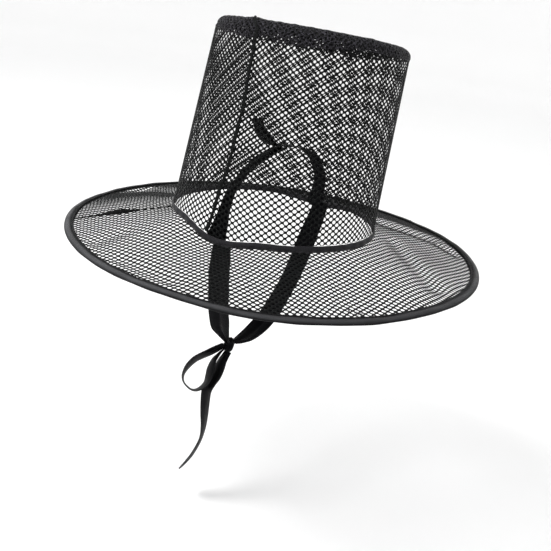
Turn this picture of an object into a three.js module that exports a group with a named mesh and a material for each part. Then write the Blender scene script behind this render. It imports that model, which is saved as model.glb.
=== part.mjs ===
// A korean gat: a tall crown and a wide brim of open net, with ribbons over the head and under the chin.
// Millimetres, +Z up. The origin is the middle of the opening where the head goes in, the wearer faces -Y,
// and +X is the wearer's left.
import * as THREE from "three";

// The crown
const headRadius = 92;
const crownTopRadius = 83.8;
const crownHeight = 163.2;
const crownLeanX = -6.2;
const crownLeanY = 11.7;
const crownTopSlopeX = 0.098;
const crownTopSlopeY = 0.002;
const crownEdgeRound = 8.5;
const netWall = 1;

// The tape round the joint of the crown and the brim
const bandHeight = 5.5;
const bandWall = 1.2;

// The brim
const brimRadius = 187;
const brimDrop = 22.8;
const brimShiftX = -1.1;
const brimShiftY = 2.1;

// The tape folded over the brim's edge
const bindingWidth = 8;
const bindingTape = 0.6;
const bindingRoll = 1.5;

// The hem and the seams
const hemHeight = 3.5;
const hemWall = 0.7;
const seamWidth = 4;
const seamWall = 1;
const seamStart = 1.8;
const crownSeamTopAngle = -4.4;
const crownSeamFootAngle = -7.4;
const crownSeamBow = 3.6;
const brimSeamWidth = 3;
const brimSeamAngle = -49;

// The ribbons
const ribbonWall = 0.8;
const strapWidth = 12;
const chinRibbonWidth = 21;
const knotWidth = 10;
const knotDepth = 9;
const knotHeight = 13;

// The small gap between neighbours, and the number of flat steps in each kind of curve
const gap = 0.3;
const crownSteps = 72;
const brimSteps = 96;
const wallRows = 5;
const roundRows = 4;
const rollRows = 4;
const seamSteps = 12;
const strapSteps = 26;
const longStrapSteps = 40;
const chinSteps = 26;
const longChinSteps = 46;
const loopSteps = 46;
const tailSteps = 44;
const knotSteps = 14;

// How far the crown's base rises above its mean level, as a share of the band's height, by angle from the
// wearer's left towards the back
const baseWave = [
  { angle: -60, share: 0.36 },
  { angle: -30, share: 0.73 },
  { angle: 0, share: -1 },
  { angle: 28, share: -0.09 },
  { angle: 60, share: 0.09 },
  { angle: 110, share: 0.09 },
  { angle: 150, share: 0.18 },
  { angle: 180, share: -0.73 },
  { angle: 215, share: 0.18 },
  { angle: 260, share: 0.18 },
];

// How far the brim's edge rises above its mean level, as a share of the brim's drop
const rimWave = [
  { angle: -112, share: -0.025 },
  { angle: -84, share: -0.02 },
  { angle: -56, share: 0.055 },
  { angle: -25, share: 0.035 },
  { angle: 2, share: 0.05 },
  { angle: 28, share: -0.07 },
  { angle: 50, share: -0.035 },
  { angle: 70, share: 0.04 },
  { angle: 92, share: 0.026 },
  { angle: 130, share: 0.035 },
  { angle: 160, share: -0.026 },
  { angle: 205, share: 0.018 },
];

// How far the middle of the brim rises above the straight slope, as a share of the brim's drop
const middleWave = [
  { angle: -95, share: 0.035 },
  { angle: -65, share: 0.07 },
  { angle: -35, share: -0.044 },
  { angle: 0, share: 0.022 },
  { angle: 30, share: 0 },
  { angle: 55, share: -0.06 },
  { angle: 85, share: 0.044 },
  { angle: 115, share: -0.035 },
  { angle: 145, share: 0.06 },
  { angle: 180, share: 0 },
  { angle: 225, share: -0.026 },
];

const colours = {
  net: { color: 0x16181b, roughness: 0.6, metalness: 0 },
  tape: { color: 0x24262b, roughness: 0.4, metalness: 0 },
  seam: { color: 0x0d0e10, roughness: 0.7, metalness: 0 },
  ribbon: { color: 0x17181c, roughness: 0.45, metalness: 0 },
};

const radians = (angle) => (angle * Math.PI) / 180;
const degrees = (angle) => (angle * 180) / Math.PI;
const mix = (a, b, share) => a + (b - a) * share;

// A smooth closed curve through a table of angles and shares of a size, read at any angle in degrees.
function waveOf(table, size) {
  const rows = [...table].sort((a, b) => a.angle - b.angle);
  return (angle) => {
    const first = rows[0].angle;
    const at = first + ((((angle - first) % 360) + 360) % 360);
    let index = rows.length - 1;
    while (rows[index].angle > at) index -= 1;
    const here = rows[index];
    const next = rows[(index + 1) % rows.length];
    const span = (next.angle - here.angle + 360) % 360;
    const along = (at - here.angle) / span;
    return mix(here.share, next.share, (1 - Math.cos(Math.PI * along)) / 2) * size;
  };
}

const baseRise = waveOf(baseWave, bandHeight);
const rimRise = waveOf(rimWave, brimDrop);
const middleRise = waveOf(middleWave, brimDrop);

// A shape turned from a profile of radius and height, then laid out by place(angle, radius, height).
function turned(profile, steps, place) {
  const points = profile.map(([radius, height]) => new THREE.Vector2(radius, height));
  const geometry = new THREE.LatheGeometry(points, steps);
  const position = geometry.getAttribute("position");
  for (let i = 0; i < position.count; i += 1) {
    const x = position.getX(i);
    const z = position.getZ(i);
    const spot = place(degrees(Math.atan2(-z, x)), Math.hypot(x, z), position.getY(i));
    position.setXYZ(i, spot.x, spot.y, spot.z);
  }
  return geometry;
}

// A ring whose section is a closed row of [out, up] pairs, laid out by place(angle, out, up).
function ring(section, steps, place) {
  const offAxis = 1;
  const profile = [...section, section[0]].map(([out, up]) => [out + offAxis, up]);
  return turned(profile, steps, (angle, radius, up) => place(angle, radius - offAxis, up));
}

// The section of a wall, from 0 to 1 along its length and from 0 to 1 through it.
const plainSection = [[0, 0], [1, 0], [1, 1], [0, 1]];
function longSection(rows) {
  const steps = Array.from({ length: rows + 1 }, (_, index) => index / rows);
  const front = steps.map((along) => [along, 0]);
  const back = steps.map((along) => [along, 1]);
  return [...front, ...back.reverse()];
}

// A point on the crown at a share of its height, inset from its outside and raised above that height.
function onCrown(angle, share, inset, raise = 0) {
  const radius = mix(headRadius, crownTopRadius, share) - inset;
  const x = radius * Math.cos(radians(angle));
  const y = radius * Math.sin(radians(angle));
  const top = crownHeight + crownTopSlopeX * x + crownTopSlopeY * y;
  const height = mix(baseRise(angle), top, share) + raise;
  return new THREE.Vector3(x + crownLeanX * share, y + crownLeanY * share, height);
}

// The share of the crown's height that lies a length below its rim.
function shareBelowRim(angle, below) {
  const x = crownTopRadius * Math.cos(radians(angle));
  const y = crownTopRadius * Math.sin(radians(angle));
  const rim = crownHeight + crownTopSlopeX * x + crownTopSlopeY * y;
  return 1 - below / (rim - baseRise(angle));
}

// A point on the brim's upper side at a share of its width.
const brimInner = headRadius + bandWall / 2 + gap;
const brimWidth = brimRadius - brimInner;
function onBrim(angle, share, raise = 0) {
  const radius = mix(brimInner, brimRadius, share);
  const inner = baseRise(angle) - bandHeight + netWall;
  const outer = rimRise(angle) - brimDrop;
  const height = mix(inner, outer, share) + middleRise(angle) * Math.sin(Math.PI * share) ** 2;
  const x = brimShiftX * share + radius * Math.cos(radians(angle));
  const y = brimShiftY * share + radius * Math.sin(radians(angle));
  return new THREE.Vector3(x, y, height + raise);
}

// The side of the crown, between the band and the rounded edge of the top.
function crownSide() {
  const place = (angle, along, depth) => {
    const share = along * shareBelowRim(angle, crownEdgeRound + gap);
    return onCrown(angle, share, depth * netWall, gap * (1 - along));
  };
  return ring(longSection(wallRows), crownSteps, place);
}

// The top of the crown: a flat disc that turns down at its edge in a round.
function crownTop() {
  const middle = crownTopRadius - crownEdgeRound;
  const outer = [[0, 0]];
  const inner = [[0, netWall]];
  for (let i = 0; i <= roundRows; i += 1) {
    const turn = (Math.PI / 2) * (i / roundRows);
    const innerRound = crownEdgeRound - netWall;
    outer.push([middle + crownEdgeRound * Math.sin(turn), crownEdgeRound * (1 - Math.cos(turn))]);
    inner.push([middle + innerRound * Math.sin(turn), netWall + innerRound * (1 - Math.cos(turn))]);
  }
  const place = (angle, radius, depth) => onCrown(angle, 1, crownTopRadius - radius, -depth);
  return turned([...inner, ...outer.reverse()], crownSteps, place);
}

// The hem lies round the outside of the crown just below the rounded edge.
function crownHem() {
  const place = (angle, out, up) => {
    const share = shareBelowRim(angle, crownEdgeRound + hemHeight * (1 - up));
    return onCrown(angle, share, -gap - hemWall * out);
  };
  return ring(plainSection, crownSteps, place);
}

// The band is a short tube that the crown stands on and the brim's inner edge meets.
function crownBand() {
  const place = (angle, out, up) => onCrown(angle, 0, bandWall * (0.5 - out), -bandHeight * (1 - up));
  return ring(plainSection, brimSteps, place);
}

// The brim runs from the band to the inside of the binding's fold.
function brim() {
  const edge = 1 - (bindingRoll * 2 + gap) / brimWidth;
  const place = (angle, out, up) => onBrim(angle, out * edge, -netWall * (1 - up));
  return ring(longSection(wallRows), brimSteps, place);
}

// The binding wraps the brim's edge: two flat flanges joined by a round roll.
function brimBinding() {
  const fold = bindingWidth - bindingRoll * 2;
  const middle = -netWall / 2;
  const slotTop = gap;
  const slotFoot = -netWall - gap;
  const rollTurn = Math.PI * 0.75;
  const section = [[0, slotTop], [fold, slotTop], [fold, slotFoot], [0, slotFoot]];
  section.push([0, slotFoot - bindingTape], [fold, slotFoot - bindingTape]);
  for (let i = 0; i <= rollRows; i += 1) {
    const turn = mix(-rollTurn, rollTurn, i / rollRows);
    const out = bindingWidth - bindingRoll + bindingRoll * Math.cos(turn);
    section.push([out, middle + bindingRoll * Math.sin(turn)]);
  }
  section.push([fold, slotTop + bindingTape], [0, slotTop + bindingTape]);
  const start = 1 - bindingWidth / brimWidth;
  const place = (angle, out, up) => onBrim(angle, start + out / brimWidth, up);
  return ring(section, brimSteps, place);
}

// A long flat bar whose corners are laid out by place(share along, side from -1 to 1, layer 0 or 1).
function bar(steps, sides, place) {
  const geometry = new THREE.BoxGeometry(1, 1, 1, sides, 1, steps);
  const position = geometry.getAttribute("position");
  for (let i = 0; i < position.count; i += 1) {
    const spot = place(position.getZ(i) + 0.5, position.getX(i) * 2, position.getY(i) + 0.5);
    position.setXYZ(i, spot.x, spot.y, spot.z);
  }
  return geometry;
}

// The side seam stands proud of the crown's outside, from the band to the hem, and bows towards the back.
function crownSeam() {
  const foot = seamStart / crownHeight;
  const top = shareBelowRim(crownSeamTopAngle, crownEdgeRound + hemHeight + gap);
  const halfAngle = degrees(seamWidth / 2 / headRadius);
  const place = (along, side, layer) => {
    const bow = crownSeamBow * Math.sin(Math.PI * along);
    const angle = mix(crownSeamFootAngle, crownSeamTopAngle, along) + bow - side * halfAngle;
    return onCrown(angle, mix(foot, top, along), -gap - seamWall * layer);
  };
  return bar(seamSteps, 2, place);
}

// The brim's seam lies on its upper side, as wide at the band as at the binding.
function brimSeam() {
  const start = seamStart / brimWidth;
  const end = 1 - (bindingWidth + gap) / brimWidth;
  const place = (along, side, layer) => {
    const share = mix(start, end, along);
    const halfAngle = degrees(brimSeamWidth / 2 / mix(brimInner, brimRadius, share));
    return onBrim(brimSeamAngle + side * halfAngle, share, gap + seamWall * layer);
  };
  return bar(seamSteps, 2, place);
}

// Routes of the ribbons, as points by hand: where the middle runs, which way the width lies, and the width
// as a share of the ribbon's own.
const strapRoute = [
  { at: [89.9, -3, -7.6], across: [0.033, 1, 0], wide: 1.6 },
  { at: [89.3, -2.5, -3], across: [0.033, 1, 0], wide: 1.5 },
  { at: [88.3, -1, 6], across: [0.02, 1, 0], wide: 1.2 },
  { at: [86.4, 0, 18], across: [0, 1, 0], wide: 1 },
  { at: [81, 0, 30], across: [0.1, 1, 0], wide: 1 },
  { at: [71.5, 0, 39.5], across: [0.1, 1, 0], wide: 1 },
  { at: [60, 0, 47], across: [0.1, 1, 0], wide: 1 },
  { at: [45, 0, 53.5], across: [0, 1, 0], wide: 1 },
  { at: [28, 0, 58.5], across: [0, 1, 0], wide: 1 },
  { at: [10, 0, 61], across: [0, 1, 0], wide: 1 },
  { at: [2, 0, 61.3], across: [0, 1, 0], wide: 1 },
];
const strapFreeEnd = [
  { at: [-12, 0, 61.6], across: [0, 1, 0], wide: 1 },
  { at: [2, 0, 62.5], across: [0, 1, 0], wide: 1 },
  { at: [12, 0, 63.6], across: [0, 1, 0.1], wide: 1 },
  { at: [24, -0.5, 67], across: [-0.1, 1, 0.2], wide: 1 },
  { at: [34, -1, 73], across: [-0.2, 1, 0.3], wide: 0.95 },
  { at: [43, -1, 80.5], across: [-0.3, 1, 0.3], wide: 0.85 },
  { at: [53, 0, 91], across: [-0.3, 1, 0.3], wide: 0.6 },
];
const chinRoute = [
  { at: [88.7, 3, -6.6], across: [0, 1, 0], wide: 0.76 },
  { at: [87.8, 2.8, -14], across: [0, 1, 0.05], wide: 0.84 },
  { at: [84.5, 1.4, -26], across: [0, 1, 0.08], wide: 0.93 },
  { at: [80.5, -0.5, -41], across: [0, 1, 0.12], wide: 1 },
  { at: [75.5, -2, -57], across: [0, 1, 0.14], wide: 1 },
  { at: [69, -4.3, -75], across: [0, 1, 0.16], wide: 1 },
  { at: [62, -6.2, -89], across: [0, 1, 0.16], wide: 1 },
];
const toKnotRoute = [
  { at: [54.5, -8.6, -101], across: [0, 1, 0.18], wide: 0.96 },
  { at: [46, -9.8, -110.5], across: [0, 1, 0.18], wide: 0.76 },
  { at: [39.6, -10.7, -117.4], across: [0, 1, 0.18], wide: 0.46 },
  { at: [35.7, -10.9, -121.2], across: [0, 1, 0.18], wide: 0.3 },
];
const underChinRoute = [
  { at: [-54.5, -8.6, -101.5], across: [0, 1, 0.12], wide: 1 },
  { at: [-46, -9.8, -111.4], across: [0, 1, 0.08], wide: 1 },
  { at: [-35, -10.6, -119.8], across: [0, 1, 0.04], wide: 1 },
  { at: [-22, -11, -125.4], across: [0, 1, 0], wide: 0.98 },
  { at: [-8, -11, -128.5], across: [0, 1, 0], wide: 0.9 },
  { at: [5, -11, -129.7], across: [0, 1, 0], wide: 0.78 },
  { at: [16, -11, -129], across: [0, 1, 0], wide: 0.56 },
  { at: [25.4, -11, -127], across: [0, 1, 0], wide: 0.34 },
];

// The knot, and the upright plane through it that the loop and the tail hang in. Their rows give the place
// sideways and up from the knot, and how far the ribbon's width is turned out of the direction that looks
// out of that plane and up, from 0 edge on to 90 face on.
const knotAt = new THREE.Vector3(31, -11, -125.5);
const planeAngle = 118;
const lookUp = 26;
const loopRoute = [
  { side: -5.5, up: -2, turn: 14, wide: 0.34 },
  { side: -11.5, up: -7, turn: 17, wide: 0.5 },
  { side: -19.2, up: -13, turn: 18.5, wide: 0.86 },
  { side: -25.4, up: -17.3, turn: 15.5, wide: 0.95 },
  { side: -30.7, up: -21.6, turn: 14, wide: 0.95 },
  { side: -36.2, up: -29.4, turn: 10, wide: 0.95 },
  { side: -39.4, up: -38.5, turn: 2, wide: 0.95 },
  { side: -38, up: -46, turn: -3, wide: 0.95 },
  { side: -31.4, up: -51.6, turn: -1, wide: 0.95 },
  { side: -25.2, up: -51, turn: 7, wide: 0.95 },
  { side: -19, up: -45, turn: 16, wide: 0.92 },
  { side: -16.4, up: -36.9, turn: 25, wide: 0.86 },
  { side: -15.3, up: -28.2, turn: 29, wide: 0.76 },
  { side: -13.2, up: -18.4, turn: 20, wide: 0.56 },
  { side: -9, up: -11, turn: 12, wide: 0.4 },
  { side: -6.2, up: -7.4, turn: 8, wide: 0.34 },
  { side: -4, up: -5.4, turn: 6, wide: 0.28 },
];
const tailRoute = [
  { side: -0.9, up: -7.5, turn: -22, wide: 0.32 },
  { side: -3, up: -12, turn: -32, wide: 0.56 },
  { side: -5.2, up: -18, turn: -28, wide: 0.8 },
  { side: -7.1, up: -26, turn: -29, wide: 0.92 },
  { side: -9.3, up: -34.5, turn: -28, wide: 0.95 },
  { side: -13, up: -43, turn: -26, wide: 0.95 },
  { side: -16, up: -51.5, turn: -28, wide: 0.95 },
  { side: -16, up: -63.5, turn: -27, wide: 0.95 },
  { side: -15.3, up: -77.5, turn: -24, wide: 0.95 },
  { side: -14.9, up: -90.5, turn: -18, wide: 0.95 },
  { side: -16.4, up: -105, turn: -11, wide: 0.95 },
  { side: -22.4, up: -121.5, turn: -10, wide: 0.9 },
  { side: -29.4, up: -133.5, turn: -9, wide: 0.75 },
  { side: -33.7, up: -139.5, turn: -9, wide: 0.5 },
];

// The rows of a route in the knot's plane as points with the direction of the ribbon's width.
function hangingRoute(rows) {
  const angle = radians(planeAngle);
  const sideways = new THREE.Vector3(Math.cos(angle), Math.sin(angle), 0);
  const out = new THREE.Vector3(Math.sin(angle), -Math.cos(angle), 0);
  const front = out.multiplyScalar(Math.cos(radians(lookUp))).setZ(Math.sin(radians(lookUp)));
  const points = rows.map((row) => {
    return knotAt.clone().addScaledVector(sideways, row.side).setZ(knotAt.z + row.up);
  });
  const curve = new THREE.CatmullRomCurve3(points);
  return rows.map((row, index) => {
    const tangent = curve.getTangent(index / (rows.length - 1));
    const flat = new THREE.Vector3().crossVectors(tangent, front).normalize();
    const turn = radians(row.turn);
    const across = front.clone().multiplyScalar(Math.cos(turn)).addScaledVector(flat, Math.sin(turn));
    return { at: points[index].toArray(), across: across.toArray(), wide: row.wide };
  });
}

const mirrored = (rows) => rows.map(({ at, across, wide }) => ({
  at: [-at[0], at[1], at[2]],
  across: [-across[0], across[1], across[2]],
  wide,
}));

// A ribbon is a thin flat bar that follows a route.
function ribbon(route, width, steps) {
  const path = new THREE.CatmullRomCurve3(route.map((row) => new THREE.Vector3(...row.at)));
  const lie = new THREE.CatmullRomCurve3(route.map((row) => new THREE.Vector3(...row.across)));
  const wide = new THREE.CatmullRomCurve3(route.map((row) => new THREE.Vector3(row.wide, 0, 0)));
  const place = (along, side, layer) => {
    const across = lie.getPoint(along).normalize();
    const face = path.getTangent(along).cross(across).normalize();
    const half = (wide.getPoint(along).x * width) / 2;
    return path
      .getPoint(along)
      .addScaledVector(across, side * half)
      .addScaledVector(face, (layer - 0.5) * ribbonWall);
  };
  return bar(steps, 1, place);
}

// The knot is a small lump of wrapped ribbon.
function chinKnot() {
  const geometry = new THREE.SphereGeometry(0.5, knotSteps, knotSteps);
  geometry.scale(knotWidth, knotDepth, knotHeight);
  geometry.translate(knotAt.x, knotAt.y, knotAt.z);
  return geometry;
}

const gat = new THREE.Group();

function add(name, geometry, look) {
  const mesh = new THREE.Mesh(geometry, new THREE.MeshStandardMaterial(look));
  mesh.name = name;
  gat.add(mesh);
}

add("crown_side", crownSide(), colours.net);
add("crown_top", crownTop(), colours.net);
add("crown_hem", crownHem(), colours.seam);
add("crown_seam", crownSeam(), colours.seam);
add("crown_band", crownBand(), colours.seam);
add("brim", brim(), colours.net);
add("brim_seam", brimSeam(), colours.seam);
add("brim_binding", brimBinding(), colours.tape);

// The right strap is the left one's mirror image up to where it passes over the left one's end.
const strapRight = [...mirrored(strapRoute).slice(0, -2), ...strapFreeEnd];
const chinLeft = [...chinRoute, ...toKnotRoute];
const chinRight = [...mirrored(chinRoute), ...underChinRoute];
add("strap_left", ribbon(strapRoute, strapWidth, strapSteps), colours.ribbon);
add("strap_right", ribbon(strapRight, strapWidth, longStrapSteps), colours.ribbon);
add("chin_ribbon_left", ribbon(chinLeft, chinRibbonWidth, chinSteps), colours.ribbon);
add("chin_ribbon_right", ribbon(chinRight, chinRibbonWidth, longChinSteps), colours.ribbon);
add("chin_knot", chinKnot(), colours.ribbon);
add("bow_loop", ribbon(hangingRoute(loopRoute), chinRibbonWidth, loopSteps), colours.ribbon);
add("ribbon_tail", ribbon(hangingRoute(tailRoute), chinRibbonWidth, tailSteps), colours.ribbon);

export default gat;
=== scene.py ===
import math
import random

import bmesh
import bpy
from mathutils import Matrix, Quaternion, Vector


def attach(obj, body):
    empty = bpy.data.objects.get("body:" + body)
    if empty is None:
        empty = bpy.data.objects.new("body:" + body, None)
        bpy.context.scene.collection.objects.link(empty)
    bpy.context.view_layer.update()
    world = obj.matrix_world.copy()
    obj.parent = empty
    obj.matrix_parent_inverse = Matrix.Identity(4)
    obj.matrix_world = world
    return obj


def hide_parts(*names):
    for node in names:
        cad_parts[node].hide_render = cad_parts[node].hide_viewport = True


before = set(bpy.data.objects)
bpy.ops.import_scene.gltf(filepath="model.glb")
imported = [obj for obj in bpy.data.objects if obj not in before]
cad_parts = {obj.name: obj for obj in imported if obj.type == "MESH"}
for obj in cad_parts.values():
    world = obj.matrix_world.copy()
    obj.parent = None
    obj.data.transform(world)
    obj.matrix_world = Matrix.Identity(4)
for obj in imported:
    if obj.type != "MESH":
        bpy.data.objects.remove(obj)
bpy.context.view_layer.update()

# The viewpoint
# The hat is seen from its wearer's left and a little behind, from just above the crown, with the picture
# turned a few degrees. The shift keeps the lens pointed at the opening while the knot stays in the frame.
bpy.ops.object.camera_add(location=(0.5947, 0.3162, 0.1907))
camera = bpy.context.object
camera.name = "camera"
aim = (-camera.location).to_track_quat("-Z", "Y")
camera.rotation_euler = (aim @ Quaternion((0, 0, 1), math.radians(7.89))).to_euler()
camera.data.lens = 50.0
camera.data.sensor_width = 36.0
camera.data.shift_x = 0.0021
camera.data.shift_y = -0.1144
bpy.context.scene.camera = camera


# The satin of the ribbons
# One black polyester satin, woven with fine ribs across and a firm edge on both sides. The maths of its
# material is written on Shade, which stands for one socket of a material.
class Shade:
    """A socket in a material. Arithmetic on it adds Math nodes, and node() adds any other."""

    def __init__(self, tree, socket=None):
        self.tree = tree
        self.socket = socket

    def node(self, kind, settings, inputs, out=0):
        made = self.tree.nodes.new(kind)
        for name, value in settings.items():
            setattr(made, name, value)
        for name, value in inputs.items():
            if isinstance(value, Shade):
                self.tree.links.new(value.socket, made.inputs[name])
            else:
                made.inputs[name].default_value = value
        return Shade(self.tree, made.outputs[out])

    def maths(self, operation, *values):
        return self.node("ShaderNodeMath", {"operation": operation}, dict(enumerate(values)))

    def __add__(self, other):
        return self.maths("ADD", self, other)

    def __sub__(self, other):
        return self.maths("SUBTRACT", self, other)

    def __rsub__(self, other):
        return self.maths("SUBTRACT", other, self)

    def __mul__(self, other):
        return self.maths("MULTIPLY", self, other)

    __radd__ = __add__
    __rmul__ = __mul__

    def wave(self, per_metre):
        return self.maths("SINE", self * (2 * math.pi * per_metre)) * 0.5 + 0.5

    def step(self, low, high):
        settings = {"interpolation_type": "SMOOTHSTEP"}
        return self.node("ShaderNodeMapRange", settings, {"Value": self, "From Min": low, "From Max": high})

    def noise(self, place, scale, detail=2.0):
        return self.node("ShaderNodeTexNoise", {}, {"Vector": place, "Scale": scale, "Detail": detail}, "Fac")

    def tint(self, share, dark, light):
        settings = {"data_type": "RGBA"}
        inputs = {0: share, 6: (*dark, 1), 7: (*light, 1)}
        return self.node("ShaderNodeMix", settings, inputs, 2)

    def parts(self, place):
        split = self.node("ShaderNodeSeparateXYZ", {}, {"Vector": place})
        return [Shade(self.tree, split.socket.node.outputs[i]) for i in range(3)]


def cloth_material(name, roughness, sheen, specular=0.5):
    """A new material with its own principled shader, and the Shade that its maths starts from."""
    material = bpy.data.materials.new(name)
    material.use_nodes = True
    shader = material.node_tree.nodes["Principled BSDF"]
    shader.inputs["Roughness"].default_value = roughness
    shader.inputs["Sheen Weight"].default_value = sheen
    shader.inputs["Sheen Roughness"].default_value = 0.45
    shader.inputs["Specular IOR Level"].default_value = specular
    return material, Shade(material.node_tree), shader


def finish_with(shade, shader, colour=None, roughness=None, height=None, depth=0.0002):
    """Links a worked-out colour, roughness and relief to the principled shader."""
    links = shade.tree.links
    if colour:
        links.new(colour.socket, shader.inputs["Base Color"])
    if roughness:
        links.new(roughness.socket, shader.inputs["Roughness"])
    if height:
        bump = shade.node("ShaderNodeBump", {}, {"Distance": depth, "Strength": 1.0, "Height": height})
        links.new(bump.socket, shader.inputs["Normal"])


satin, shade, shader = cloth_material("black_satin", roughness=0.4, sheen=0.0, specular=0.018)
lay = shade.node("ShaderNodeUVMap", {"uv_map": "UVMap"}, {})
across, along, _ = shade.parts(lay)
edge = shade.node("ShaderNodeAttribute", {"attribute_name": "edge"}, {}, "Fac")
selvedge = edge.step(0.86, 0.95)
streak_place = shade.node("ShaderNodeMapping", {}, {"Vector": lay, "Scale": (900, 30, 1)})
streaks = shade.noise(streak_place, 1.0, 3.0)
creases = shade.noise(shade.node("ShaderNodeMapping", {}, {"Vector": lay, "Scale": (60, 140, 1)}), 1.0)
ribs = along.wave(2600) * (1 - selvedge) + across.wave(1500) * selvedge
finish_with(
    shade, shader,
    colour=shade.tint(streaks * 0.7 + selvedge * 0.3, (0.001, 0.001, 0.0015), (0.008, 0.008, 0.009)),
    roughness=streaks * 0.16 + 0.34 + selvedge * 0.1,
    height=ribs * 0.12 + creases * 2.2 + selvedge * 0.5,
)


# The straps inside the crown
# Two lengths of narrow black ribbon, sewn inside the band on either side. The right one passes over the
# end of the left one at the top of their arch, is sewn there, and its cut end curls up in the crown.
# Each row is a point of the route, the direction of the width, and the share of the width that shows.
strap_width = 0.012
strap_rows = [
    (0.0899, -0.0030, -0.0076, 0.033, 1, 0, 1.6), (0.0893, -0.0025, -0.003, 0.033, 1, 0, 1.5),
    (0.0883, -0.0010, 0.006, 0.02, 1, 0, 1.2), (0.0864, 0, 0.018, 0.15, 1, 0, 1),
    (0.0810, 0, 0.030, 0.4, 1, 0, 0.95), (0.0715, 0, 0.0395, 0.55, 1, 0, 0.95),
    (0.0600, 0, 0.047, 0.5, 1, 0, 0.95), (0.0450, 0, 0.0535, 0.3, 1, 0, 1),
    (0.0280, 0, 0.0585, 0.1, 1, 0, 1), (0.0100, 0, 0.061, 0, 1, 0, 1), (0.0020, 0, 0.0613, 0, 1, 0, 1),
]
free_end_rows = [
    (-0.012, 0, 0.0616, 0, 1, 0, 1), (0.002, 0, 0.0625, 0, 1, 0, 1), (0.012, 0, 0.0636, 0, 1, 0.1, 1),
    (0.024, -0.0005, 0.067, -0.1, 1, 0.2, 1), (0.034, -0.001, 0.073, -0.2, 1, 0.3, 0.95),
    (0.043, -0.001, 0.0805, -0.3, 1, 0.3, 0.85), (0.053, 0, 0.091, -0.3, 1, 0.3, 0.6),
]


def smooth(rows, steps):
    """Rows of numbers on one smooth curve through the given rows."""
    made = []
    for i in range(steps + 1):
        at = i / steps * (len(rows) - 1)
        k = min(int(at), len(rows) - 2)
        t = at - k
        near = [rows[min(max(k + j, 0), len(rows) - 1)] for j in (-1, 0, 1, 2)]
        made.append([
            0.5 * (2 * b + (c - a) * t + (2 * a - 5 * b + 4 * c - d) * t**2 + (3 * b - a - 3 * c + d) * t**3)
            for a, b, c, d in zip(*near)
        ])
    return made


def mirrored(rows):
    return [(-x, y, z, -ax, ay, az, wide) for x, y, z, ax, ay, az, wide in rows]


def length_of(points):
    return sum((b - a).length for a, b in zip(points, points[1:]))


def add_material(piece, material):
    piece.data.materials.clear()
    piece.data.materials.append(material)


def add_modifier(piece, kind, **settings):
    modifier = piece.modifiers.new(kind.lower(), kind)
    for name, value in settings.items():
        setattr(modifier, name, value)
    bpy.context.view_layer.objects.active = piece
    bpy.ops.object.modifier_apply(modifier=modifier.name)


def new_grid(name, columns, rows):
    """A flat grid to be laid out point by point. Its points run from 0 to 1 both ways."""
    bpy.ops.object.select_all(action="DESELECT")
    bpy.ops.mesh.primitive_grid_add(x_subdivisions=columns, y_subdivisions=rows, size=1, calc_uvs=True)
    piece = bpy.context.object
    piece.name = name
    for point in piece.data.vertices:
        point.co += Vector((0.5, 0.5, 0))
    return piece


ribbon_wall = 0.0005


def ribbon(name, rows, width, steps, shape):
    """A flat ribbon that follows rows. shape(side, along) says how far it stands off its own plane."""
    columns = 14
    piece = new_grid(name, columns, steps)
    stations = smooth(rows, steps)
    path = [Vector(row[:3]) for row in stations]
    length = length_of(path)
    edge = piece.data.attributes.new("edge", "FLOAT", "POINT")
    for index, point in enumerate(piece.data.vertices):
        side, along = point.co.x * 2 - 1, point.co.y
        k = round(along * steps)
        tangent = (path[min(k + 1, steps)] - path[max(k - 1, 0)]).normalized()
        wide = Vector(stations[k][3:6]).normalized()
        face = tangent.cross(wide).normalized()
        point.co = path[k] + wide * (side * stations[k][6] * width / 2) + face * shape(side, along)
        edge.data[index].value = abs(side)
    for corner in piece.data.uv_layers.active.data:
        corner.uv = (corner.uv.x * width, corner.uv.y * length)
    add_modifier(piece, "SOLIDIFY", thickness=ribbon_wall, offset=0.0)
    bpy.ops.object.shade_smooth_by_angle(angle=math.radians(50))
    add_material(piece, satin)
    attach(piece, "root")
    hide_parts(name.replace("ribbon_of_", ""))
    return piece, path, length


def strap_shape(side, along):
    """Straps lie flat, with a slight trough and a few ripples near the sewn foot."""
    ripple = 0.0005 * math.sin(side * 9) * max(0, 1 - along * 5)
    return 0.0003 * side**2 + 0.0003 * math.sin(along * 37) * side + ripple


strap_left, path, length = ribbon(
    "ribbon_of_strap_left", strap_rows, strap_width, steps=60, shape=strap_shape)

right_rows = mirrored(strap_rows)[:-2] + free_end_rows
strap_right, path, length = ribbon(
    "ribbon_of_strap_right", right_rows, strap_width, steps=90, shape=strap_shape)


# The ribbons that tie the hat
# One wider satin ribbon leaves the band on either side, folded softly along its middle. The right length
# crosses below the opening to the wearer's left, where both are tied in a half bow.
chin_width = 0.021
chin_rows = [
    (0.0887, 0.0030, -0.0066, 0, 1, 0, 0.76), (0.0878, 0.0028, -0.014, 0, 1, 0.05, 0.84),
    (0.0845, 0.0014, -0.026, 0, 1, 0.08, 0.93), (0.0805, -0.0005, -0.041, 0, 1, 0.12, 1),
    (0.0755, -0.0020, -0.057, 0, 1, 0.14, 1), (0.0690, -0.0043, -0.075, 0, 1, 0.16, 1),
    (0.0620, -0.0062, -0.089, 0, 1, 0.16, 1),
]
to_knot_rows = [
    (0.0545, -0.0086, -0.101, 0, 1, 0.18, 0.90), (0.0460, -0.0098, -0.1105, 0, 1, 0.18, 0.60),
    (0.0396, -0.0107, -0.1174, 0, 1, 0.18, 0.36), (0.0357, -0.0109, -0.1212, 0, 1, 0.18, 0.3),
]
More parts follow.
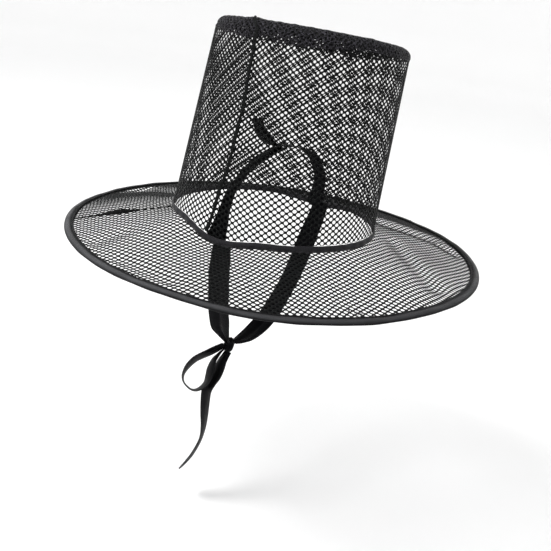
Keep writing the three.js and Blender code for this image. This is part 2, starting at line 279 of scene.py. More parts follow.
under_chin_rows = [
    (-0.0545, -0.0086, -0.1015, 0, 1, 0.12, 1), (-0.0460, -0.0098, -0.1114, 0, 1, 0.08, 1),
    (-0.0350, -0.0106, -0.1198, 0, 1, 0.04, 1), (-0.0220, -0.0110, -0.1254, 0, 1, 0, 0.98),
    (-0.0080, -0.0110, -0.1285, 0, 1, 0, 0.9), (0.0050, -0.0110, -0.1297, 0, 1, 0, 0.78),
    (0.0160, -0.0110, -0.1290, 0, 1, 0, 0.56), (0.0254, -0.0110, -0.1270, 0, 1, 0, 0.34),
]


def chin_shape(side, along):
    """A soft fold along the middle, with gathers where the ribbon narrows into the knot."""
    fold = 0.0022 * (1 - math.exp(-abs(side + 0.05) * 4)) * min(1, along * 4)
    gather = 0.0009 * math.cos(side * 11) * max(0, along - 0.75) * 4
    return fold + gather - 0.0008


# The knot
# The two ends are crossed and pulled tight into a small hard lump of folded satin.
knot_at = Vector((0.031, -0.011, -0.1255))
knot_size = Vector((0.010, 0.009, 0.013))
drawn_past, drawn_spread = 1.12, 0.45

# Where the ribbons leave, from the middle of the knot. The satin is drawn out a little towards each.
ribbons_leave = [
    Vector((0.0047, 0.0001, 0.0043)), Vector((-0.0056, 0, -0.0015)), Vector((0.0027, -0.0051, -0.0020)),
    Vector((0.0020, -0.0037, -0.0056)), Vector((0.0004, -0.0008, -0.0078)),
]
bpy.ops.object.select_all(action="DESELECT")
bpy.ops.mesh.primitive_uv_sphere_add(segments=48, ring_count=32, radius=0.5)
knot = bpy.context.object
knot.name = "knot_of_satin"
edge = knot.data.attributes.new("edge", "FLOAT", "POINT")
for point in knot.data.vertices:
    turn = math.atan2(point.co.y, point.co.x)
    wrap = math.sin(3 * turn + point.co.z * 9) * 0.5 + math.sin(7 * turn - point.co.z * 16) * 0.25
    waist = 1 - 0.16 * math.exp(-(((point.co.z - 0.1 * math.sin(turn)) * 7) ** 2))
    swell = (1 + 0.07 * wrap) * waist * 0.97
    spot = Vector([point.co[k] * knot_size[k] for k in range(3)]) * swell
    drawn_out = [
        (way.length * drawn_past / spot.length - 1) * math.exp(-((spot.angle(way) / drawn_spread) ** 2))
        for way in ribbons_leave
    ]
    point.co = spot * (1 + max(0, *drawn_out)) + knot_at
bpy.ops.object.shade_smooth()
add_material(knot, satin)
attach(knot, "root")
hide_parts("chin_knot")

chin_left, path, length = ribbon(
    "ribbon_of_chin_ribbon_left", chin_rows + to_knot_rows, chin_width, steps=80, shape=chin_shape)

chin_right, path, length = ribbon(
    "ribbon_of_chin_ribbon_right", mirrored(chin_rows) + under_chin_rows, chin_width, steps=110,
    shape=chin_shape)


# The loop and the tail
# The ribbon leaves the knot in one loop, comes back to it, and its long end hangs below. Each row is the
# place sideways and up from the knot in the upright plane that they hang in, the turn of the width out of
# the direction that looks out of that plane and up, and the share of the width that shows.
plane_angle = math.radians(118)
look_up = math.radians(26)
loop_rows = [
    (-0.0055, -0.0020, 26, 0.44), (-0.0115, -0.0070, 24, 0.66), (-0.0192, -0.0130, 18.5, 0.86),
    (-0.0254, -0.0173, 15.5, 0.95), (-0.0307, -0.0216, 14, 0.95), (-0.0362, -0.0294, 10, 0.95),
    (-0.0394, -0.0385, 2, 0.95), (-0.0380, -0.0460, -3, 0.95), (-0.0314, -0.0516, -1, 0.95),
    (-0.0252, -0.0510, 7, 0.95), (-0.0190, -0.0450, 16, 0.92), (-0.0164, -0.0369, 25, 0.86),
    (-0.0153, -0.0282, 29, 0.76), (-0.0132, -0.0184, 24, 0.60), (-0.0090, -0.0110, 18, 0.42),
    (-0.0062, -0.0074, 12, 0.36), (-0.0040, -0.0054, 10, 0.30),
]
tail_rows = [
    (-0.0009, -0.0075, -34, 0.44), (-0.0030, -0.0120, -32, 0.58), (-0.0052, -0.0180, -28, 0.80),
    (-0.0071, -0.0260, -29, 0.92), (-0.0093, -0.0345, -28, 0.95), (-0.0130, -0.0430, -26, 0.95),
    (-0.0160, -0.0515, -28, 0.95), (-0.0160, -0.0635, -27, 0.95), (-0.0153, -0.0775, -24, 0.95),
    (-0.0149, -0.0905, -18, 0.95), (-0.0164, -0.1050, -11, 0.95), (-0.0224, -0.1215, -10, 0.9),
    (-0.0294, -0.1335, -9, 0.75), (-0.0337, -0.1395, -9, 0.5),
]


def hanging(rows):
    """Rows of the knot's plane as rows in space, with the direction of the width worked out."""
    sideways = Vector((math.cos(plane_angle), math.sin(plane_angle), 0))
    level = Vector((math.sin(plane_angle), -math.cos(plane_angle), 0))
    front = level * math.cos(look_up) + Vector((0, 0, math.sin(look_up)))
    points = [knot_at + sideways * side + Vector((0, 0, up)) for side, up, _, _ in rows]
    made = []
    for k, (point, (_, _, turn, wide)) in enumerate(zip(points, rows)):
        tangent = (points[min(k + 1, len(points) - 1)] - points[max(k - 1, 0)]).normalized()
        flat = tangent.cross(front).normalized()
        width = front * math.cos(math.radians(turn)) + flat * math.sin(math.radians(turn))
        made.append((*point, *width, wide))
    return made


def loop_shape(side, along):
    """The loop is open and smooth, drawn into gathers at both ends."""
    near_knot = max(0, abs(along - 0.5) - 0.36) * 7
    return 0.0006 * side**2 + 0.0007 * math.cos(side * 10) * near_knot


def tail_shape(side, along):
    """The tail is gathered at the knot, keeps a faint fold, and ends in a slanting cut."""
    return 0.0011 * math.cos(side * 9) * max(0, 1 - along * 7) + 0.0008 * math.cos(side * 2.4 + along * 5)


bow_loop, path, length = ribbon(
    "ribbon_of_bow_loop", hanging(loop_rows), chin_width, steps=90, shape=loop_shape)

tail, path, length = ribbon(
    "ribbon_of_ribbon_tail", hanging(tail_rows), chin_width, steps=90, shape=tail_shape)


# The net of the crown
# Stiff black polyester net with round holes in slanting rows, sewn into a tube that narrows and leans back
# a little. The rows run level, and the columns of holes lean, as the cloth was cut slightly off its grain.
net_wall = 0.0004
merge_gap = 0.00002
fibre_scale = 2600
hole_pitch = 0.0060
row_pitch = 0.00256
hole_half = (0.00160, 0.00150)
hole_corner = 0.36
head_radius = 0.092
crown_top_radius = 0.0838
crown_height = 0.1632
crown_lean = (-0.0062, 0.0117)
crown_slope = (0.098, 0.002)
crown_round = 0.0085
crown_wall = 0.001
band_height = 0.0055
stitched_gap = 0.0003

# How far the joint of crown and brim rises at each angle round the crown, as a share of the band's height.
base_wave = {
    -60: 0.36, -30: 0.73, 0: -1, 28: -0.09, 60: 0.09, 110: 0.09, 150: 0.18, 180: -0.73, 215: 0.18, 260: 0.18,
}


def wave_of(table, size):
    """A smooth closed curve through a table of angles and shares of a size."""
    angles = sorted(table)

    def read(angle):
        at = angles[0] + (angle - angles[0]) % 360
        k = max(i for i, a in enumerate(angles) if a <= at)
        here, after = angles[k], angles[(k + 1) % len(angles)]
        along = (at - here) / ((after - here) % 360)
        return size * (table[here] + (table[after] - table[here]) * (1 - math.cos(math.pi * along)) / 2)

    return read


base_rise = wave_of(base_wave, band_height)


def mix(a, b, share):
    return a + (b - a) * share


def crown_rim(angle, radius):
    """The height of the crown's top over a point of its round."""
    x, y = radius * math.cos(math.radians(angle)), radius * math.sin(math.radians(angle))
    return crown_height + crown_slope[0] * x + crown_slope[1] * y


def below_rim(angle, length):
    """The share of the crown's height that lies a length below its rim."""
    return 1 - length / (crown_rim(angle, crown_top_radius) - base_rise(angle))


def on_crown(angle, share, inset, up=0.0):
    """A point on the crown at a share of its height, inset from its outside and raised."""
    radius = mix(head_radius, crown_top_radius, share) - inset
    x, y = radius * math.cos(math.radians(angle)), radius * math.sin(math.radians(angle))
    height = mix(base_rise(angle), crown_rim(angle, radius), share) + up
    return Vector((x + crown_lean[0] * share, y + crown_lean[1] * share, height))


def new_piece(name, mesh):
    """A new piece with a mesh, selected alone."""
    piece = bpy.data.objects.new(name, mesh)
    bpy.context.collection.objects.link(piece)
    bpy.ops.object.select_all(action="DESELECT")
    piece.select_set(True)
    bpy.context.view_layer.objects.active = piece
    return piece


def knotted_net(name, crossings, step, place, around=0, hole=hole_half, slack=0.00011):
    """Cloth of net. A crossing of strands stands at each (i, j) with i + j odd, and the holes are between.

    place(across, up) lays a point of the flat cloth on its surface, and says whether it is inside the cut.
    """
    loose = random.Random(name)
    reach = [step[k] - hole[k] for k in range(2)]
    cut = [hole[k] * hole_corner for k in range(2)]
    corners = [
        (reach[0], -cut[1]), (reach[0], cut[1]), (cut[0], reach[1]), (-cut[0], reach[1]),
        (-reach[0], cut[1]), (-reach[0], -cut[1]), (-cut[0], -reach[1]), (cut[0], -reach[1]),
    ]
    points, inside, first = [], [], {}
    for i, j in crossings:
        first[i, j] = len(points)
        slip = [loose.uniform(-1, 1) * slack for _ in range(2)]
        for corner in corners:
            spot, within = place(i * step[0] + corner[0] + slip[0], j * step[1] + corner[1] + slip[1])
            points.append(spot)
            inside.append(within)
    faces = []
    for (i, j), at in first.items():
        faces.append(tuple(range(at, at + 8)))
        right = first.get(((i + 1) % around if around else i + 1, j + 1))
        left = first.get(((i - 1) % around if around else i - 1, j + 1))
        if right is not None:
            faces.append((at + 1, right + 6, right + 5, at + 2))
        if left is not None:
            faces.append((at + 3, left, left + 7, at + 4))
    mesh = bpy.data.meshes.new(name)
    mesh.from_pydata(points, [], [face for face in faces if any(inside[k] for k in face)])
    work = bmesh.new()
    work.from_mesh(mesh)
    bmesh.ops.remove_doubles(work, verts=work.verts, dist=merge_gap)
    bmesh.ops.dissolve_degenerate(work, edges=work.edges, dist=merge_gap)
    bmesh.ops.delete(work, geom=[v for v in work.verts if not v.link_faces], context="VERTS")
    work.to_mesh(mesh)
    work.free()
    piece = new_piece(name, mesh)
    add_modifier(piece, "SOLIDIFY", thickness=net_wall, offset=0.0)
    bpy.ops.object.shade_smooth()
    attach(piece, "root")
    return piece


net_black, shade, shader = cloth_material("black_net", roughness=0.5, sheen=0.0, specular=0.06)
spot = shade.node("ShaderNodeTexCoord", {}, {}, "Object")
fibres = shade.noise(spot, fibre_scale, 3.0)
fade = shade.noise(spot, 38, 3.0)
finish_with(
    shade, shader,
    colour=shade.tint(fade * 0.6 + fibres * 0.4, (0.002, 0.002, 0.002), (0.009, 0.010, 0.010)),
    roughness=fibres * 0.22 + 0.4,
    height=fibres,
)

holes_around = 90
crown_rows = 70
turn_per_metre = 360 / (holes_around * hole_pitch)
usual_lean, lean_change, most_lean_at = 0.0875, 0.0525, 28
below_foot = 0.008


def place_on_crown(across, up):
    """A point of the flat net on the tube. Its columns lean most at one angle."""
    start = across * turn_per_metre
    lean = usual_lean + lean_change * math.cos(math.radians(start - most_lean_at))
    angle = start - lean * up * turn_per_metre
    height = up - below_foot
    base, rim = base_rise(angle), crown_rim(angle, crown_top_radius)
    share = (height - base) / (rim - base)
    held = min(max(share, 0), below_rim(angle, crown_round + stitched_gap))
    return on_crown(angle, held, crown_wall / 2, stitched_gap * (1 - held)), held == share


crossings = [(i, j) for j in range(crown_rows) for i in range(2 * holes_around) if (i + j) % 2]
crown_net = knotted_net(
    "net_of_crown_side", crossings, (hole_pitch / 2, row_pitch), place_on_crown, around=2 * holes_around)
add_material(crown_net, net_black)
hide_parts("crown_side")


# The top of the crown
# A round of the same net, laid flat and turned down over the edge, where it is sewn to the tube.
flat_radius = crown_top_radius - crown_round
round_turn = math.pi / 2
net_round = crown_round - crown_wall / 2
top_grain = math.radians(24)


def place_on_top(across, up):
    """A point of the flat net on the top, or turned down over its edge."""
    x = across * math.cos(top_grain) - up * math.sin(top_grain)
    y = across * math.sin(top_grain) + up * math.cos(top_grain)
    reach, angle = math.hypot(x, y), math.degrees(math.atan2(y, x))
    over = max(reach - flat_radius, 0) / net_round
    held = min(over, round_turn)
    radius = min(reach, flat_radius) + net_round * math.sin(held)
    drop = crown_wall / 2 + net_round * (1 - math.cos(held))
    return on_crown(angle, 1, crown_top_radius - radius, -drop), held == over


half_i, half_j = 31, 36
crossings = [(i, j) for j in range(-half_j, half_j + 1) for i in range(-half_i, half_i + 1) if (i + j) % 2]
top_net = knotted_net("net_of_crown_top", crossings, (hole_pitch / 2, row_pitch), place_on_top)
add_material(top_net, net_black)
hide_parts("crown_top")


# The hem and the seams of the crown
# Where two cuts of net meet, their edges are folded over each other and sewn through, which gives a dark
# rope of crushed net: a level one round the top edge, and a slanting one down the wearer's left side.
doubled_net, shade, shader = cloth_material("doubled_net", roughness=0.5, sheen=0.0, specular=0.1)
spot = shade.node("ShaderNodeTexCoord", {}, {}, "Object")
cells = {"Vector": spot, "Scale": 400}
strands = shade.node("ShaderNodeTexVoronoi", {"feature": "DISTANCE_TO_EDGE"}, cells, "Distance")
fibres = shade.noise(spot, fibre_scale, 3.0)
# Painted shade: the middles of the cells, the holes of the crushed net, are painted nearly black for the
# shade that lies in them.
shaded_pits = strands.step(0.01, 0.16)
finish_with(
    shade, shader,
    colour=shade.tint(fibres * 0.12 + (1 - shaded_pits) * 0.88, (0.0003, 0.0003, 0.0003), (0.042, 0.040, 0.048)),
    roughness=fibres * 0.2 + 0.4,
    height=fibres * 0.5 - shaded_pits * 1.5,
    depth=0.0004,
)


def crushed(a, b, seed):
    """An uneven height from 0 to 1 for crushed cloth."""
    broad = math.sin(a * 1.9 + 2.3 * math.sin(b * 1.3 + seed))
    fine = math.sin(b * 3.1 + a * 0.7 + seed)
    return 0.5 + 0.25 * broad + 0.25 * fine


def closed_ring(piece):
    """Joins the ends of a ring laid out from a grid."""
    work = bmesh.new()
    work.from_mesh(piece.data)
    bmesh.ops.remove_doubles(work, verts=work.verts, dist=0.00001)
    work.to_mesh(piece.data)
    work.free()


def tidy(piece, material, node, angle=60):
    """Smooths a finished piece, gives it its cloth, ties it to the root, and hides the part of the model that
    it stands for.
    """
    bpy.ops.object.shade_smooth_by_angle(angle=math.radians(angle))
    add_material(piece, material)
    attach(piece, "root")
    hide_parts(node)


# The foot of the doubled net wanders, because it was cut and sewn by hand.
hem_foot = {
    -70: 0.0100, -52: 0.0102, -38: 0.0128, -24: 0.0150, -8: 0.0155, 1: 0.0125, 10: 0.0162, 20: 0.0155,
    35: 0.0140, 52: 0.0104, 66: 0.0094, 80: 0.0096, 130: 0.010, 180: 0.012, 240: 0.0120,
}
hem_reach = wave_of(hem_foot, 1)
hem_longest = 0.0165
hem_side = hem_longest - crown_round
hem_on_top = 0.006
hem_taper = 0.005
hem_holes_around = 104
hem_row_pitch = 0.0021
edge_length = round_turn * crown_round

# Low folds of the hem over the edge: the angle of each, its half width in degrees and its height.
edge_folds = {-61: (5, 0.0004), -11: (5, 0.0010), 62: (3, 0.0006), 118: (6, 0.0004)}


def over_the_edge(angle, past, out):
    """A point a length past the start of the crown's rounded edge, and a length off the cloth."""
    if past < 0:
        return on_crown(angle, below_rim(angle, crown_round - past), -out)
    if past > edge_length:
        return on_crown(angle, 1, crown_round + past - edge_length, out)
    turn = past / crown_round
    radius = flat_radius + (crown_round + out) * math.cos(turn)
    return on_crown(angle, 1, crown_top_radius - radius, (crown_round + out) * math.sin(turn) - crown_round)


def place_on_hem(across, up):
    """A point of the doubled net, from its wandering foot over the edge to the top."""
    angle = across * 360 / (hem_holes_around * hole_pitch)
    lowest = hem_longest - hem_reach(angle)
    past = max(up, lowest) - hem_side
    above_foot = min((max(up, lowest) - lowest) / hem_taper, 1)
    out = 0.0006 * above_foot - 0.0005
    out += 0.0003 * above_foot * math.sin(angle * 0.31) * math.sin(up * 700 + angle)
    for middle, (width, height) in edge_folds.items():
        apart = (angle - middle + 180) % 360 - 180
        out += height * math.exp(-((apart / width) ** 2) - ((past - edge_length * 0.8) / 0.006) ** 2)
    return over_the_edge(angle, past, out), up >= lowest and past < edge_length + hem_on_top


hem_rows = round((hem_side + edge_length + hem_on_top) / hem_row_pitch) + 1
crossings = [(i, j) for j in range(hem_rows) for i in range(2 * hem_holes_around) if (i + j) % 2]
hem = knotted_net(
    "doubled_net_of_crown_hem", crossings, (hole_pitch / 2, hem_row_pitch), place_on_hem,
    around=2 * hem_holes_around, hole=(0.0012, 0.0009), slack=0.0003)
add_material(hem, doubled_net)
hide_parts("crown_hem")

seam_width = 0.0034
seam_wall = 0.0004
seam_start = 0.0018
seam_lift = stitched_gap + 0.0002
seam_foot_angle, seam_top_angle, seam_bow = -7.4, -4.4, 3.6
seam_over_edge = -7.5
seam_foot = seam_start / crown_height
seam_on_side = crown_height - seam_start - crown_round
seam_length = seam_on_side + edge_length * 0.95
crown_seam = new_grid("seam_of_crown", columns=10, rows=340)
for point in crown_seam.data.vertices:
    side, along = point.co.x * 2 - 1, point.co.y
    past = along * seam_length - seam_on_side
    climbed = min(along * seam_length / seam_on_side, 1)
    middle = mix(seam_foot_angle, seam_top_angle, climbed) + seam_bow * math.sin(math.pi * climbed)
    middle += seam_over_edge * max(past, 0) / edge_length + 0.25 * math.sin(along * 23)
    fray = 0.5 + 0.45 * crushed(along * 60, 2, 1.0) + 0.4 * crushed(along * 330, 3 * round(side), 4.0)
    half = math.degrees(seam_width / 2 / head_radius) * fray
    ridge = 0.0009 * (1 - side**4) * (0.4 + 0.6 * crushed(along * 230, side * 2.6, 2.0))
    out = seam_lift + ridge + 0.0008 * math.exp(-(((past - edge_length * 0.85) / 0.003) ** 2))
    if past < 0:
        share = mix(seam_foot, below_rim(middle, crown_round), 1 + past / seam_on_side)
        point.co = on_crown(middle + side * half, share, -out)
    else:
        point.co = over_the_edge(middle + side * half, past, out)
add_modifier(crown_seam, "SOLIDIFY", thickness=seam_wall, offset=0.0)
tidy(crown_seam, net_black, "crown_seam")


# The band
# Black woven tape, set on edge round the joint of the crown and the brim. Both are sewn to it.
band_wall = 0.0012
band_ribs = 430
tape, shade, shader = cloth_material("woven_tape", roughness=0.55, sheen=0.05, specular=0.25)
spot = shade.node("ShaderNodeTexCoord", {}, {}, "Object")
east, north, up = shade.parts(spot)
ribs = shade.maths("ARCTAN2", north, east).wave(band_ribs / (2 * math.pi))
weft = up.wave(1400)
fibres = shade.noise(spot, 1800, 2.0)
finish_with(
    shade, shader,
    colour=shade.tint(ribs * 0.4 + fibres * 0.6, (0.004, 0.004, 0.005), (0.014, 0.013, 0.017)),
    roughness=fibres * 0.2 + 0.42,
    height=ribs * 0.5 + weft * 0.3 + fibres * 0.2,
    depth=0.0003,
)

band = new_grid("tape_of_band", columns=360, rows=8)
for point in band.data.vertices:
    angle, up = point.co.x * 360, point.co.y
    puff = 0.0005 * math.sin(math.pi * up) + 0.0002 * math.sin(point.co.x * 2 * math.pi * 47)
    point.co = on_crown(angle, 0, -puff, -band_height * (1 - up))
closed_ring(band)
add_modifier(band, "SOLIDIFY", thickness=band_wall * 0.8, offset=0.0)
tidy(band, tape, "crown_band")


# The brim
# One flat round of the same net with a wide hole, pressed into a shallow slope. It has no wire, so it
# stays a little wavy. Its rows of holes run straight across the whole round.
brim_radius = 0.187
brim_drop = 0.0228
brim_shift = (-0.0011, 0.0021)
brim_inner = head_radius + band_wall / 2 + stitched_gap
brim_width = brim_radius - brim_inner
binding_width = 0.008
binding_roll = 0.0015

# How far the brim's edge and its middle rise at each angle, as a share of its drop.
rim_wave = {
    -112: -0.025, -84: -0.02, -56: 0.055, -25: 0.035, 2: 0.05, 28: -0.07,
    50: -0.035, 70: 0.04, 92: 0.026, 130: 0.035, 160: -0.026, 205: 0.018,
}
middle_wave = {
    -95: 0.035, -65: 0.07, -35: -0.044, 0: 0.022, 30: 0, 55: -0.06, 85: 0.044, 115: -0.035, 145: 0.06, 180: 0,
    225: -0.026,
}
rim_rise = wave_of(rim_wave, brim_drop)
middle_rise = wave_of(middle_wave, brim_drop)


def on_brim(angle, share, up=0.0):
    """A point on the brim's upper side at a share of its width."""
    radius = mix(brim_inner, brim_radius, share)
    inner = base_rise(angle) - band_height + crown_wall
    outer = rim_rise(angle) - brim_drop
    height = mix(inner, outer, share) + middle_rise(angle) * math.sin(math.pi * share) ** 2
    x = brim_shift[0] * share + radius * math.cos(math.radians(angle))
    y = brim_shift[1] * share + radius * math.sin(math.radians(angle))
    return Vector((x, y, height + up))


brim_hole_pitch = 0.00586
brim_row_pitch = 0.00275
brim_grain = math.radians(129.5)
brim_net_edge = 1 - (2 * binding_roll + stitched_gap) / brim_width

# Soft folds that the brim took on from being packed: both ends of each in plan, its depth and its reach.
brim_folds = [
    ((-0.014, -0.158), (-0.008, -0.108), 0.0042, 0.022), ((-0.092, 0.072), (-0.109, 0.114), 0.0034, 0.012),
    ((-0.109, 0.114), (-0.094, 0.150), 0.0026, 0.008), ((-0.040, 0.102), (0.018, 0.162), 0.0028, 0.010),
    ((0.156, -0.083), (0.124, -0.073), 0.0016, 0.009), ((0.160, -0.040), (0.165, 0.010), 0.0016, 0.009),
]


def sunk_in_folds(x, y):
    """How deep a place in plan lies in the folds."""
    depth = 0
    for start, end, deep, reach in brim_folds:
        along, away = Vector(end) - Vector(start), Vector((x, y)) - Vector(start)
        share = min(max(along.dot(away) / along.length_squared, 0), 1)
        depth = max(depth, deep * math.exp(-(((away - along * share).length / reach) ** 2)))
    return depth


def place_on_brim(across, up):
    """A point of the flat net on the brim. Its rows wander a little, and the folds fade at both edges."""
    drift = 0.0014 * math.sin(across * 46 + up * 19) + 0.0007 * math.sin(up * 83 - across * 31)
    pull = 0.0016 * math.sin(across * 38 - 1.1) + 0.0008 * math.sin(across * 87 + up * 40)
    across, up = across + drift, up + pull
    x = across * math.cos(brim_grain) - up * math.sin(brim_grain)
    y = across * math.sin(brim_grain) + up * math.cos(brim_grain)
    share = 0.5
    for _ in range(2):
        away = (x - brim_shift[0] * share, y - brim_shift[1] * share)
        share = (math.hypot(*away) - brim_inner) / brim_width
    held = min(max(share, 0), brim_net_edge)
    angle = math.degrees(math.atan2(away[1], away[0]))
    short_of_binding = (brim_net_edge - binding_width / brim_width - held) * 20
    free = min(max(min(short_of_binding, held * 5), 0), 1)
    return on_brim(angle, held, -crown_wall / 2 - sunk_in_folds(x, y) * free), held == share


half_i, half_j = 66, 70
inner_clear, outer_clear = 0.088, 0.190
crossings = []
for j in range(-half_j, half_j + 1):
    for i in range(-half_i, half_i + 1):
        away = math.hypot(i * brim_hole_pitch / 2, j * brim_row_pitch)
        if (i + j) % 2 and inner_clear < away < outer_clear:
            crossings.append((i, j))
brim_net = knotted_net("net_of_brim", crossings, (brim_hole_pitch / 2, brim_row_pitch), place_on_brim)
add_material(brim_net, net_black)
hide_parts("brim")

# The one seam of the brim, gathered and full in its middle.
brim_seam_width = 0.003
brim_seam_angle = -49
gathered_at, gathered_half = 0.55, 0.17
brim_seam = new_grid("seam_of_brim", columns=10, rows=220)
for point in brim_seam.data.vertices:
    side, along = point.co.x * 2 - 1, point.co.y
    share = mix(seam_start / brim_width, 1 - (binding_width + stitched_gap) / brim_width, along)
    gathered = math.exp(-(((along - gathered_at) / gathered_half) ** 2))
    full = (0.35 + 1.3 * gathered) * min(along * 3.5, 1)
    fray = 0.7 + 0.6 * crushed(along * 190, 3 * round(side), 5.0)
    half = math.degrees(brim_seam_width / 2 / mix(brim_inner, brim_radius, share)) * full * fray
    ridge = (0.0006 + 0.0030 * gathered) * (1 - side**4) * (0.5 + 0.5 * crushed(along * 130, side * 2.6, 3.0))
    point.co = on_brim(brim_seam_angle + side * half, share, seam_lift + ridge)
add_modifier(brim_seam, "SOLIDIFY", thickness=seam_wall, offset=0.0)
tidy(brim_seam, net_black, "brim_seam")


# The binding
# Smooth charcoal bias tape, folded over the edge of the brim and its seam allowance, which fill it into a
# soft roll. It is sewn through near its inner edge with black thread.
binding, shade, shader = cloth_material("charcoal_bias_tape", roughness=0.3, sheen=0.02, specular=0.08)
spot = shade.node("ShaderNodeTexCoord", {}, {}, "Object")
east, north, _ = shade.parts(spot)
warp = (east + north).wave(1500)
weft = (east - north).wave(1500)
fibres = shade.noise(spot, 1500, 2.0)
fade = shade.noise(spot, 26, 3.0)
# Painted shade and highlight: this mask darkens the tape under its roll and along both edges and leaves its
# crest light. Where the binding is oversewn, it also darkens the tape for the black thread.
painted_shade_and_oversewn = shade.node("ShaderNodeAttribute", {"attribute_name": "edge"}, {}, "Fac").step(0.1, 0.95)
# Painted shade: the tape is darkened towards the back, away from the light that falls from the front left.
painted_shade_towards_back = north.step(0.02, 0.18)
shown = (fade * 0.6 + fibres * 0.4) * (1 - painted_shade_and_oversewn) * (1 - painted_shade_towards_back * 0.4)
finish_with(
    shade, shader,
    colour=shade.tint(shown, (0.001, 0.001, 0.0015), (0.088, 0.089, 0.094)),
    roughness=fibres * 0.16 + 0.3 + painted_shade_and_oversewn * 0.2,
    height=warp * 0.25 + weft * 0.25 + fibres * 0.25,
)

# The cut through the binding, as the distance out from its inner edge, the height over the net, and how dark
# it is painted: painted shade under the roll and along both edges, and a painted highlight on the crest of
# the roll, where it is 0.
under = -crown_wall
section = [
    (0, 0.0003, 1), (0.005, 0.0003, 0), (0.005, under - 0.0003, 0), (0, under - 0.0003, 1),
    (0, under - 0.0009, 1), (0.001, under - 0.0012, 0.6), (0.0026, under - 0.0014, 0.2),
    (0.0045, under - 0.0013, 0.6), (0.0061, under - 0.0009, 1), (0.0073, under - 0.0002, 1),
    (0.0079, -0.0004, 0.9), (0.0078, 0.0003, 0.7), (0.0073, 0.0009, 0.5), (0.0063, 0.0014, 0.15),
    (0.0051, 0.0017, 0), (0.0038, 0.0016, 0.45), (0.0026, 0.0012, 0.85), (0.0017, 0.0009, 1),
    (0.0011, 0.0007, 1), (0.0006, 0.0009, 1), (0.0001, 0.0008, 1),
]


def turn_faces_out():
    """Turns the faces of the active piece outwards."""
    bpy.ops.object.mode_set(mode="EDIT")
    bpy.ops.mesh.select_all(action="SELECT")
    bpy.ops.mesh.normals_make_consistent(inside=False)
    bpy.ops.object.mode_set(mode="OBJECT")


binding_start = 1 - binding_width / brim_width
binding_stitches = 380
oversewn_at, oversewn_half = 112, 28
edge_tape = new_grid("tape_of_binding", columns=520, rows=len(section))
edge = edge_tape.data.attributes.new("edge", "FLOAT", "POINT")
for index, point in enumerate(edge_tape.data.vertices):
    point_turn = point.co.x * 360
    angle = math.radians(point_turn)
    out, up, inner = section[round(point.co.y * len(section)) % len(section)]
    upper = up > 0.0003
    swell = 1 + 0.09 * math.sin(angle * 23) + 0.07 * math.sin(angle * 41 + 1)
    pucker = 0.00014 * math.sin(angle * binding_stitches / 2) * max(0, 1 - out / 0.004)
    point.co = on_brim(point_turn, binding_start + out / brim_width, up * swell + pucker * upper)
    # The edge attribute carries the painted shade and highlight of the section, and the dark of the oversewn
    # thread near one angle.
    near = math.exp(-(((point_turn - oversewn_at) / oversewn_half) ** 2))
    oversewn = near * (1.7 - out / 0.0032) if upper else 0
    edge.data[index].value = min(max(inner, oversewn), 1)
closed_ring(edge_tape)
turn_faces_out()
tidy(edge_tape, binding, "brim_binding", angle=45)


# The stitches
# Black thread, sunk a little into the tape at every hole of the needle. Its ends are left in small knots,
# most of them behind, where the binding is oversewn.
thread, shade, shader = cloth_material("black_thread", roughness=0.5, sheen=0.0, specular=0.3)
spot = shade.node("ShaderNodeTexCoord", {}, {}, "Object")
twist = shade.noise(spot, 4200, 2.0)
finish_with(
    shade, shader,
    colour=shade.tint(twist, (0.002, 0.002, 0.002), (0.012, 0.012, 0.013)),
    roughness=twist * 0.2 + 0.4,
    height=twist,
)
thread_thick = 0.00055
bpy.ops.object.select_all(action="DESELECT")
bpy.ops.mesh.primitive_uv_sphere_add(segments=6, ring_count=5, radius=0.5)
one_stitch = bpy.context.object
stitch_points = [point.co.copy() for point in one_stitch.data.vertices]
stitch_faces = [tuple(face.vertices) for face in one_stitch.data.polygons]
bpy.data.objects.remove(one_stitch)


def sewn(name, stitches):
    """One piece of thread. Each stitch is its middle, its direction, the way out of the cloth, its length."""
    points, faces = [], []
    for middle, ahead, out, length in stitches:
        start = len(points)
        side = ahead.cross(out).normalized()
        for point in stitch_points:
            spot = middle + ahead * point.z * length + side * point.x * thread_thick
            points.append(spot + out * point.y * thread_thick)
        faces += [tuple(k + start for k in face) for face in stitch_faces]
    mesh = bpy.data.meshes.new(name)
    mesh.from_pydata(points, [], faces)
    piece = new_piece(name, mesh)
    turn_faces_out()
    bpy.ops.object.shade_smooth()
    add_material(piece, thread)
    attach(piece, "root")


def round_the_hat(angle):
    return Vector((-math.sin(math.radians(angle)), math.cos(math.radians(angle)), 0))


upward = Vector((0, 0, 1))
by_hand = random.Random("stitches")
stitch_line, stitch_height = 0.0012, 0.00095
stitches = []
for k in range(binding_stitches):
    angle = k * 360 / binding_stitches
    out = stitch_line + by_hand.uniform(-0.00015, 0.00015)
    middle = on_brim(angle, binding_start + out / brim_width, stitch_height)
    ahead = round_the_hat(angle + by_hand.uniform(-5, 5))
    stitches.append((middle, ahead, upward, by_hand.uniform(0.0022, 0.0026)))

# Each end's angle, and its distance out from the binding's inner edge. Three short turns make its knot.
thread_ends = [(49, -0.0085), (50.2, -0.006), (51.5, -0.0035), (50, -0.0015), (97, 0.0012), (157, 0.0066)]
thread_ends += [(99 + 2.4 * k, 0.0010) for k in range(13)]
for angle, out in thread_ends:
    middle = on_brim(angle, binding_start + out / brim_width, 0.0003 if out < 0 else 0.0014)
    for turn in (20, 75, 130):
        ahead = (round_the_hat(angle + turn) + upward * 0.35).normalized()
        stitches.append((middle + ahead * 0.0006, ahead, upward, 0.003))
sewn("stitches_of_binding", stitches)

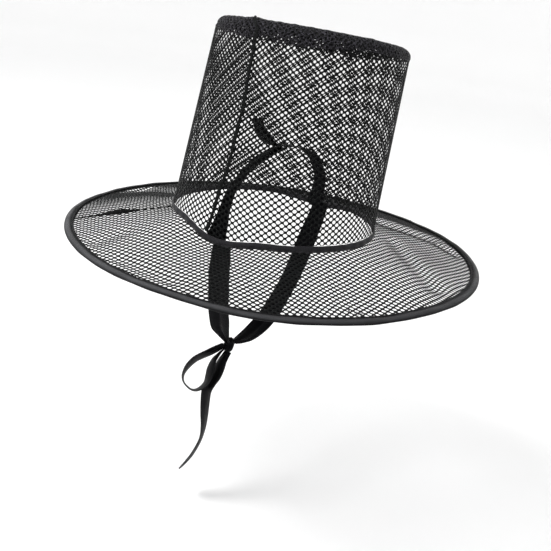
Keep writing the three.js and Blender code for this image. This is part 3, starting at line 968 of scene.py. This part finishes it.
band_stitches = 190
band_stitch_out, band_stitch_down = 0.00105, 0.78
stitches = []
for k in range(band_stitches):
    angle = k * 360 / band_stitches
    middle = on_crown(angle, 0, -band_stitch_out, -band_height * band_stitch_down)
    ahead = round_the_hat(angle + by_hand.uniform(-4, 4))
    stitches.append((middle, ahead, middle.xy.to_3d().normalized(), 0.0023))
sewn("stitches_of_band", stitches)


# The floor and the light
# A pale studio floor that turns up far off on all sides, under even white daylight with one broad soft lamp
# above, to the left and the front.
floor_level = -0.30
pale, shade, shader = cloth_material("pale_floor", roughness=0.9, sheen=0.0, specular=0.1)
spot = shade.node("ShaderNodeTexCoord", {}, {}, "Object")
finish_with(shade, shader, colour=shade.tint(shade.noise(spot, 2.0), (0.95, 0.95, 0.95), (0.97, 0.97, 0.97)))
bpy.ops.object.select_all(action="DESELECT")
bpy.ops.mesh.primitive_circle_add(vertices=96, radius=4.0, fill_type="NGON", location=(0, 0, floor_level))
floor = bpy.context.object
floor.name = "floor"
bpy.ops.object.mode_set(mode="EDIT")
bpy.ops.mesh.select_all(action="SELECT")
bpy.ops.mesh.region_to_loop()
# How far each ring of the turned-up edge widens, and how far it rises.
for out, up in ((1.06, 0.03), (1.05, 0.1), (1.04, 0.25), (1.02, 0.5), (1.01, 0.9), (1.01, 1.2)):
    bpy.ops.mesh.extrude_edges_move(TRANSFORM_OT_translate={"value": (0, 0, up)})
    bpy.ops.transform.resize(value=(out, out, 1))
bpy.ops.object.mode_set(mode="OBJECT")
bpy.ops.object.transform_apply(location=True, rotation=True, scale=True)
bpy.ops.object.shade_smooth()
add_material(floor, pale)

world = bpy.data.worlds.new("daylight")
bpy.context.scene.world = world
world.use_nodes = True
world.node_tree.nodes["Background"].inputs["Color"].default_value = (1, 1, 1, 1)
world.node_tree.nodes["Background"].inputs["Strength"].default_value = 1.0
bpy.context.scene.view_settings.view_transform = "Standard"


def soft_lamp(name, place, size, power):
    """A round lamp that faces the hat."""
    bpy.ops.object.light_add(type="AREA", location=place)
    lamp = bpy.context.object
    lamp.name = name
    lamp.data.shape = "DISK"
    lamp.data.size = size
    lamp.data.energy = power
    lamp.rotation_euler = (-Vector(place)).to_track_quat("-Z", "Y").to_euler()


soft_lamp("lamp", (0.9, -0.7, 1.5), 0.7, 28)
